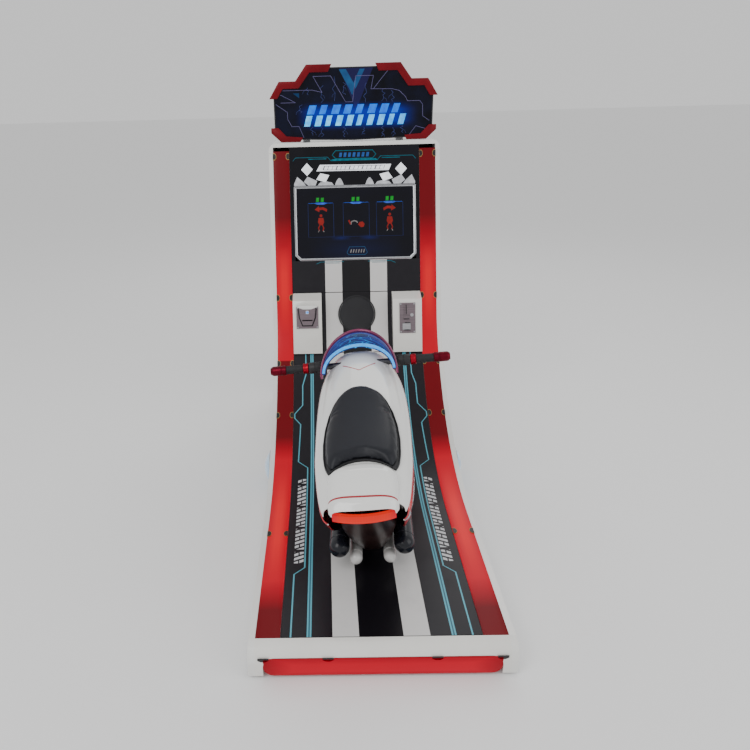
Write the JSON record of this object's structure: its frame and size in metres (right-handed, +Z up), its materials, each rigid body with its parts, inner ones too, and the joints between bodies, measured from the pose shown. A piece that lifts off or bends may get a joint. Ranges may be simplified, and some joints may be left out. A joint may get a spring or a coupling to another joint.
{
  "type": "ride-on motorcycle arcade racing cabinet",
  "caption": "Ride-on racing cabinet: a leaning bike on a curved ramp deck that sweeps up into a screen tower with lit side rails, note and coin boxes and a lit sign.",
  "frame": {"origin": "on the floor under the middle of the cabinet", "axes": "+Z up, +Y from the player end to the screen tower, +X to the rider's right"},
  "size_m": [0.774, 1.76, 1.559],
  "materials": {
    "bearing_steel": "polished",
    "black_plastic": "matte",
    "blue_lens": "translucent gloss",
    "clip_black": "gloss",
    "deck_graphic": "gloss",
    "display": "gloss",
    "electronics": "satin",
    "faceplate": "brushed",
    "frame_steel": "powder coat",
    "galvanised": "satin",
    "grey_plastic": "satin",
    "lamp_red": "translucent gloss",
    "light_board": "matte",
    "maroon": "gloss",
    "red_anodised": "anodised",
    "red_lens": "translucent gloss",
    "red_rocker": "matte",
    "rubber_black": "matte",
    "screen_black": "gloss",
    "seat_vinyl": "vinyl",
    "sign_face": "gloss",
    "silver_bezel": "satin",
    "undertail_dark": "gloss",
    "white_panel": "gloss",
    "white_shell": "gloss",
    "wood_panel": "painted"
  },
  "bodies": {
    "cabinet": {"brackets_and_fasteners": "galvanised", "coin_box": "white_shell", "coin_plate": "faceplate", "deck_panel": "deck_graphic", "display_bezel": "silver_bezel", "display_panel": "display", "door_hinge_fixed": "galvanised", "equipment_shelf": "galvanised", "exhaust_fan": "black_plastic", "game_computer": "electronics", "lamp_lenses": "red_lens", "lean_stop_buffers": "rubber_black", "lens_clips": "clip_black", "levelling_feet": "rubber_black", "light_strips": "light_board", "lower_tower_panel": "deck_graphic", "mains_inlet": "black_plastic", "marquee_face": "sign_face", "marquee_housing": "black_plastic", "marquee_wings": "maroon", "money_validators": "grey_plastic", "nose_cap": "white_shell", "note_acceptor_bezel": "faceplate", "note_box": "white_shell", "pedestal": "frame_steel", "pivot_bearings": "bearing_steel", "power_and_io_units": "electronics", "rail_channels": "white_panel", "rear_panel": "wood_panel", "screen_surround": "screen_black", "side_panels": "white_panel", "speaker_driver": "black_plastic", "speaker_grille": "black_plastic", "steel_frame": "frame_steel", "tower_top_cap": "white_shell"},
    "door": {"rear_door": "wood_panel"},
    "door_lock": {"door_lock": "galvanised"},
    "fan_rotor": {"fan_rotor": "black_plastic"},
    "power_rocker": {"power_rocker": "red_rocker"},
    "coin_return_button": {"coin_return_button": "bearing_steel"},
    "coin_return_flap": {"coin_return_flap": "galvanised"},
    "throttle": {"throttle_grip": "rubber_black"},
    "bike": {"pivot_shaft": "galvanised", "bike_chassis": "frame_steel", "main_cowl": "white_shell", "side_fairings": "white_shell", "seat_base": "black_plastic", "seat_pad": "seat_vinyl", "tail_cowl": "white_shell", "tail_lamp_lens": "lamp_red", "undertail_shell": "undertail_dark", "foot_pods": "black_plastic", "belly_pods": "grey_plastic", "dash_lens": "blue_lens", "dash_rim": "maroon", "dash_light_strip": "light_board", "handlebar": "frame_steel", "switch_housings": "black_plastic", "grip_left": "rubber_black", "bar_ends_and_rings": "red_anodised"}
  },
  "joints": [
    {"name": "bike_lean", "type": "hinge", "parent": "cabinet", "child": "bike", "pos_m": [0, -0.36, 0.225], "axis": [0, 0.866, 0.5], "range_deg": [-5.5, 18.5]},
    {"name": "throttle_twist", "type": "hinge", "parent": "bike", "child": "throttle", "pos_m": [0.20289, -0.11715, 0.60404], "axis": [0.9936, -0.0566, 0.098], "range_deg": [0, 60], "stiffness_Nm_per_rad": 0.3, "springref_deg": -11.46},
    {"name": "coin_return_press", "type": "slide", "parent": "cabinet", "child": "coin_return_button", "axis": [0, 0.9527, -0.304], "range_m": [0, 0.003], "stiffness_N_per_m": 400, "springref_m": -0.001},
    {"name": "coin_flap_swing", "type": "hinge", "parent": "cabinet", "child": "coin_return_flap", "pos_m": [0.207, 0.42032, 0.5402], "axis": [1, 0, 0], "range_deg": [0, 50], "stiffness_Nm_per_rad": 0.01, "springref_deg": -28.65},
    {"name": "door_swing", "type": "hinge", "parent": "cabinet", "child": "door", "pos_m": [-0.219, 0.8724, 0.525], "axis": [0, 0, 1], "range_deg": [0, 105]},
    {"name": "door_lock_turn", "type": "hinge", "parent": "door", "child": "door_lock", "pos_m": [0.19, 0.868, 0.525], "axis": [0, -1, 0], "range_deg": [0, 90]},
    {"name": "power_rocker_tilt", "type": "hinge", "parent": "cabinet", "child": "power_rocker", "pos_m": [0.25, 0.867, 0.151], "axis": [1, 0, 0], "range_deg": [0, 14]},
    {"name": "fan_spin", "type": "hinge", "parent": "cabinet", "child": "fan_rotor", "pos_m": [0, 0.845, 1.01], "axis": [0, 1, 0], "continuous": true}
  ]
}
